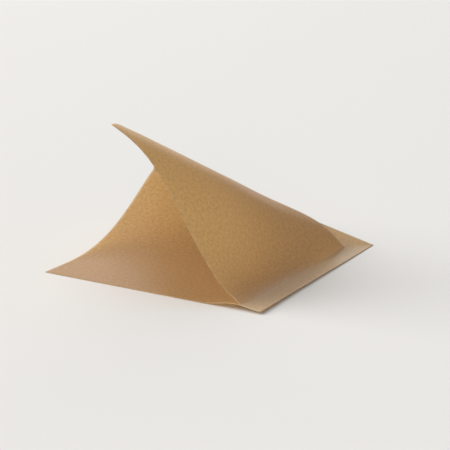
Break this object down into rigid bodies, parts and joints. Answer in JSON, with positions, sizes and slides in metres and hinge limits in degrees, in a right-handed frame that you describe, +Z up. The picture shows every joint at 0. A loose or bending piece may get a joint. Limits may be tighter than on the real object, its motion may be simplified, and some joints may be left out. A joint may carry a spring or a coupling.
{
  "type": "flat paper bag",
  "caption": "Small flat square kraft paper bag, sealed along two adjoining sides, lying half open with its upper ply raised to a tip.",
  "frame": {"origin": "middle of the bag's outline, on the surface that it lies on", "axes": "+Z up. The glued front corner and the closed corner lie towards +X: the right side seal runs along Y, the back seal runs from the closed corner towards -X, and the open edges face -Y and -X"},
  "size_m": [0.1702, 0.17, 0.1092],
  "materials": {
    "kraft_paper": "matt greaseproof kraft paper with a faint sheen"
  },
  "bodies": {
    "root": {"paper_bag": "kraft_paper"}
  },
  "joints": []
}
